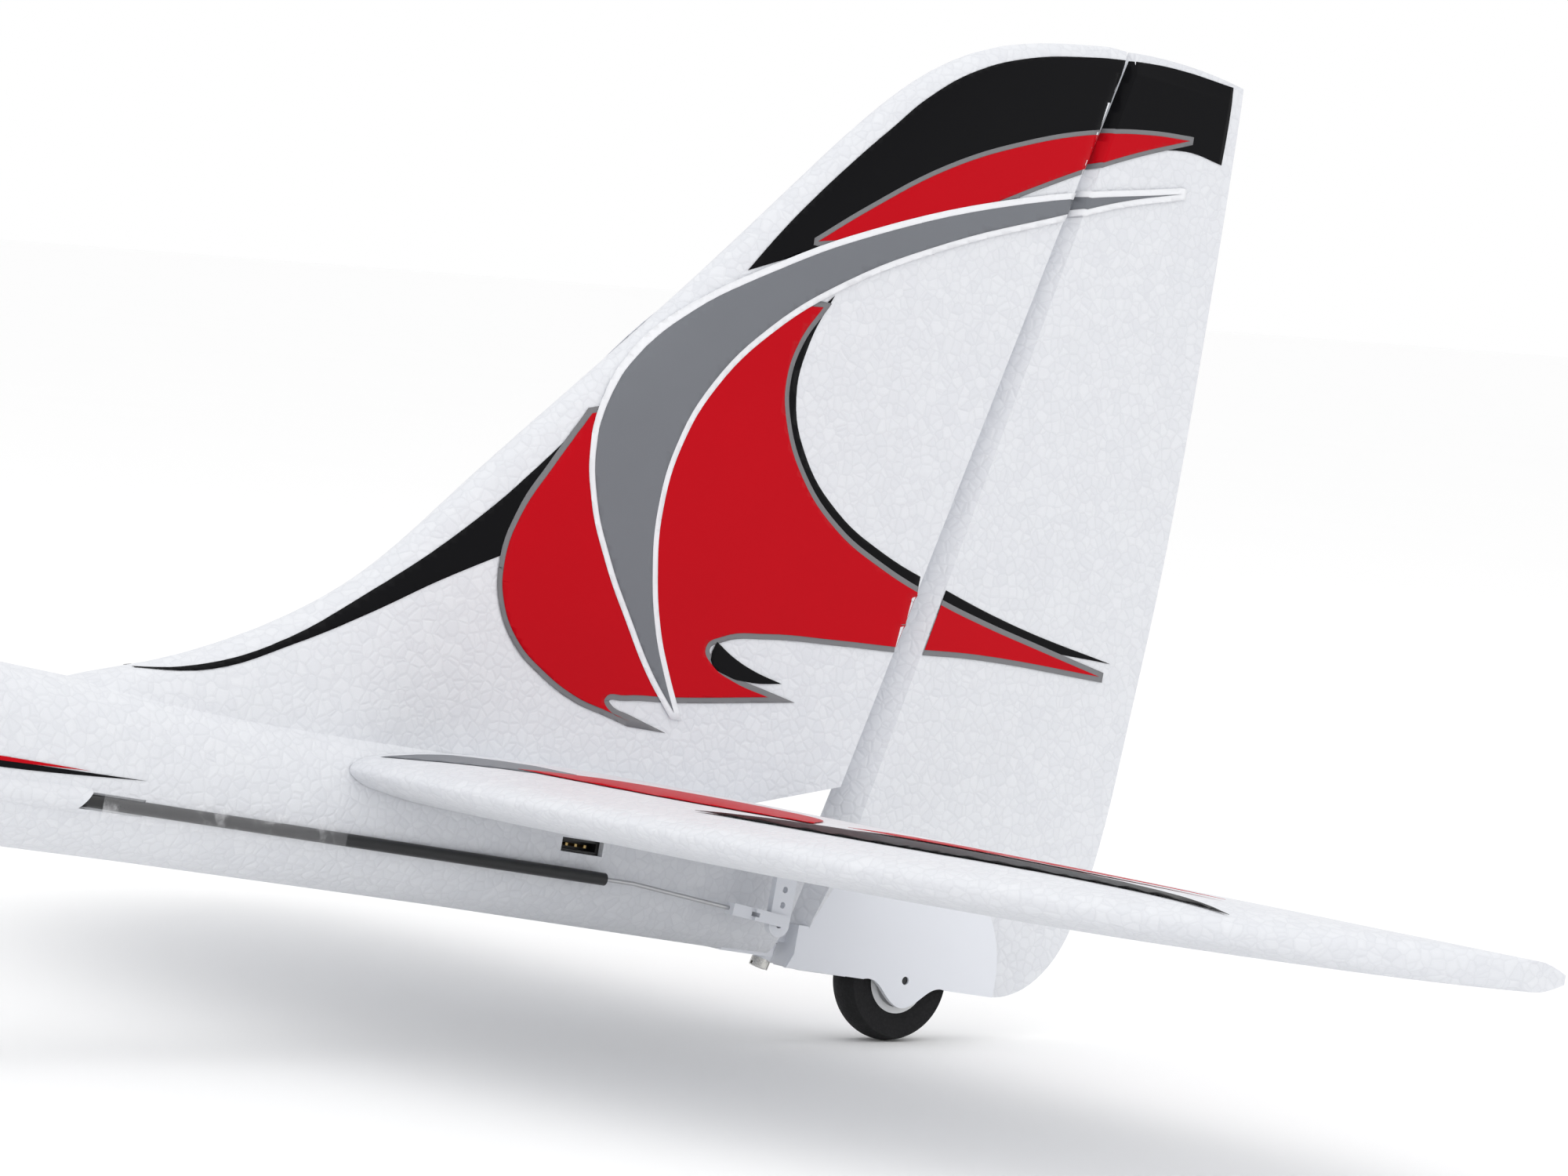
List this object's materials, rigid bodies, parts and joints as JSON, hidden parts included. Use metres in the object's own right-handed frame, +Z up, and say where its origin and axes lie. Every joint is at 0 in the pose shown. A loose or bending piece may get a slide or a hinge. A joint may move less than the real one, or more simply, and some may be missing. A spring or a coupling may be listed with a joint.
{
  "type": "rc sailplane",
  "caption": "Powered foam model sailplane on wheels: cruciform tail with steerable tail wheel, folding propeller, plug-on wings and tailplane.",
  "frame": {"origin": "on the floor, under the middle of the parked aircraft's overall box", "axes": "+X aft along the parked aircraft, +Y starboard along the span, +Z up"},
  "size_m": [1.0726, 1.5, 0.2431],
  "materials": {
    "white_foam": "moulded bead foam, satin",
    "black_foam": "fine-grained foam rubber",
    "white_nylon": "smooth satin moulding",
    "grey_plastic": "satin",
    "dark_plastic": "satin",
    "canopy_black": "gloss",
    "steel_wire": "drawn wire",
    "screw_steel": "nickel plated",
    "gold_pins": "plated",
    "carbon_tube": "carbon fibre, semi gloss",
    "motor_metal": "anodised",
    "clear_tape": "clear tape",
    "pack_wrap": "shrink wrap"
  },
  "bodies": {
    "airframe": {"aileron_servo_left": "dark_plastic", "aileron_servo_right": "dark_plastic", "battery": "pack_wrap", "elevator_servo": "dark_plastic", "elevator_sleeve": "dark_plastic", "fuselage_left": "white_foam", "fuselage_right": "white_foam", "hinge_screw": "screw_steel", "main_gear_wire": "steel_wire", "motor_case": "motor_metal", "receiver": "dark_plastic", "rudder_servo": "dark_plastic", "rudder_sleeve": "dark_plastic", "sleeve_tape": "clear_tape", "socket_pins": "gold_pins", "speed_controller": "dark_plastic", "stab_left": "white_foam", "stab_right": "white_foam", "stab_spar_tube": "carbon_tube", "stern_hinge": "white_nylon", "tail_socket": "dark_plastic", "wheel_collars": "screw_steel", "wing_left": "white_foam", "wing_pins": "carbon_tube", "wing_right": "white_foam", "wing_spar_tube": "carbon_tube"},
    "propeller": {"motor_shaft": "steel_wire", "spinner_cone": "dark_plastic", "prop_yoke": "dark_plastic", "blade_pins": "steel_wire"},
    "blade_left": {"blade_left": "dark_plastic"},
    "blade_right": {"blade_right": "dark_plastic"},
    "hatch": {"canopy_hatch": "canopy_black", "hatch_magnets": "screw_steel"},
    "aileron_left": {"aileron_left": "white_foam", "aileron_horn_left": "white_nylon"},
    "aileron_right": {"aileron_right": "white_foam", "aileron_horn_right": "white_nylon"},
    "aileron_arm_left": {"aileron_arm_left": "white_nylon"},
    "aileron_arm_right": {"aileron_arm_right": "white_nylon"},
    "aileron_rod_left": {"aileron_pushrod_left": "steel_wire"},
    "aileron_rod_right": {"aileron_pushrod_right": "steel_wire"},
    "elevators": {"elevator_left": "white_foam", "elevator_right": "white_foam", "elevator_joiner": "carbon_tube", "elevator_horn": "white_nylon"},
    "elevator_arm": {"elevator_arm": "white_nylon"},
    "elevator_rod": {"elevator_pushrod": "steel_wire", "elevator_clevis": "white_nylon"},
    "rudder": {"rudder": "white_foam", "tail_wheel_bracket": "white_nylon", "tail_wheel_axle": "screw_steel"},
    "rudder_arm": {"rudder_arm": "white_nylon"},
    "rudder_rod": {"rudder_pushrod": "steel_wire"},
    "tail_wheel": {"tail_wheel_tyre": "black_foam", "tail_wheel_hub": "grey_plastic"},
    "main_wheel_left": {"main_tyre_left": "black_foam", "main_hub_left": "grey_plastic"},
    "main_wheel_right": {"main_tyre_right": "black_foam", "main_hub_right": "grey_plastic"}
  },
  "joints": [
    {"name": "propeller_spin", "type": "hinge", "parent": "airframe", "child": "propeller", "pos_m": [-0.51152, 0, 0.1635], "axis": [0.9925, 0, -0.1226], "continuous": true},
    {"name": "blade_left_fold", "type": "hinge", "parent": "propeller", "child": "blade_left", "pos_m": [-0.51152, -0.0155, 0.1635], "axis": [0.1226, 0, 0.9925], "range_deg": [0, 62]},
    {"name": "blade_right_fold", "type": "hinge", "parent": "propeller", "child": "blade_right", "pos_m": [-0.51152, 0.0155, 0.1635], "axis": [-0.1226, 0, -0.9925], "range_deg": [0, 62]},
    {"name": "hatch_lift", "type": "hinge", "parent": "airframe", "child": "hatch", "pos_m": [-0.42504, 0, 0.18657], "axis": [0, -1, 0], "range_deg": [0, 60]},
    {"name": "aileron_left_swing", "type": "hinge", "parent": "airframe", "child": "aileron_left", "pos_m": [-0.1715, -0.3525, 0.16164], "axis": [0.1207, 0.9795, -0.1615], "range_deg": [-20, 20]},
    {"name": "aileron_arm_left_swing", "type": "hinge", "parent": "airframe", "child": "aileron_arm_left", "pos_m": [-0.24159, -0.41703, 0.17996], "axis": [0.1207, 0.9795, -0.1615], "range_deg": [-20, 20]},
    {"name": "aileron_rod_left_swing", "type": "hinge", "parent": "aileron_left", "child": "aileron_rod_left", "pos_m": [-0.18281, -0.42839, 0.15504], "axis": [0.1207, 0.9795, -0.1615], "range_deg": [-20, 20]},
    {"name": "aileron_right_swing", "type": "hinge", "parent": "airframe", "child": "aileron_right", "pos_m": [-0.1715, 0.3525, 0.16164], "axis": [-0.1207, 0.9795, 0.1615], "range_deg": [-20, 20]},
    {"name": "aileron_arm_right_swing", "type": "hinge", "parent": "airframe", "child": "aileron_arm_right", "pos_m": [-0.24159, 0.41703, 0.17996], "axis": [-0.1207, 0.9795, 0.1615], "range_deg": [-20, 20]},
    {"name": "aileron_rod_right_swing", "type": "hinge", "parent": "aileron_right", "child": "aileron_rod_right", "pos_m": [-0.18281, 0.42839, 0.15504], "axis": [-0.1207, 0.9795, 0.1615], "range_deg": [-20, 20]},
    {"name": "elevator_swing", "type": "hinge", "parent": "airframe", "child": "elevators", "pos_m": [0.40484, 0, 0.05296], "axis": [0, 1, 0], "range_deg": [-15, 15]},
    {"name": "elevator_arm_swing", "type": "hinge", "parent": "airframe", "child": "elevator_arm", "pos_m": [-0.11468, -0.0152, 0.11329], "axis": [0, 1, 0], "range_deg": [-22.01, 22.01]},
    {"name": "elevator_rod_slide", "type": "slide", "parent": "airframe", "child": "elevator_rod", "axis": [0.9925, 0, -0.1226], "range_m": [-0.00577, 0.00577]},
    {"name": "rudder_swing", "type": "hinge", "parent": "airframe", "child": "rudder", "pos_m": [0.41287, 0, 0.02416], "axis": [0.3723, 0, 0.9281], "range_deg": [-22, 22]},
    {"name": "rudder_rod_slide", "type": "slide", "parent": "airframe", "child": "rudder_rod", "axis": [0.9925, 0, -0.1226], "range_m": [-0.00613, 0.00613]},
    {"name": "rudder_arm_swing", "type": "hinge", "parent": "airframe", "child": "rudder_arm", "pos_m": [-0.07796, 0.0152, 0.10875], "axis": [0, 1, 0], "range_deg": [-22.67, 22.67]},
    {"name": "tail_wheel_spin", "type": "hinge", "parent": "rudder", "child": "tail_wheel", "pos_m": [0.44953, 0, 0.015], "axis": [0, 1, 0], "continuous": true},
    {"name": "main_wheel_left_spin", "type": "hinge", "parent": "airframe", "child": "main_wheel_left", "pos_m": [-0.26942, -0.084, 0.027], "axis": [0, 1, 0], "continuous": true},
    {"name": "main_wheel_right_spin", "type": "hinge", "parent": "airframe", "child": "main_wheel_right", "pos_m": [-0.26942, 0.084, 0.027], "axis": [0, 1, 0], "continuous": true}
  ],
  "couplings": [
    {"joint": "aileron_arm_left_swing", "follows": "aileron_left_swing", "ratio": 1},
    {"joint": "aileron_rod_left_swing", "follows": "aileron_left_swing", "ratio": -1},
    {"joint": "aileron_arm_right_swing", "follows": "aileron_right_swing", "ratio": 1},
    {"joint": "aileron_rod_right_swing", "follows": "aileron_right_swing", "ratio": -1},
    {"joint": "elevator_arm_swing", "follows": "elevator_swing", "ratio": 1.4667},
    {"joint": "elevator_rod_slide", "follows": "elevator_swing", "m_per_rad": -0.022},
    {"joint": "rudder_rod_slide", "follows": "rudder_swing", "m_per_rad": -0.01593},
    {"joint": "rudder_arm_swing", "follows": "rudder_swing", "ratio": 1.03}
  ]
}
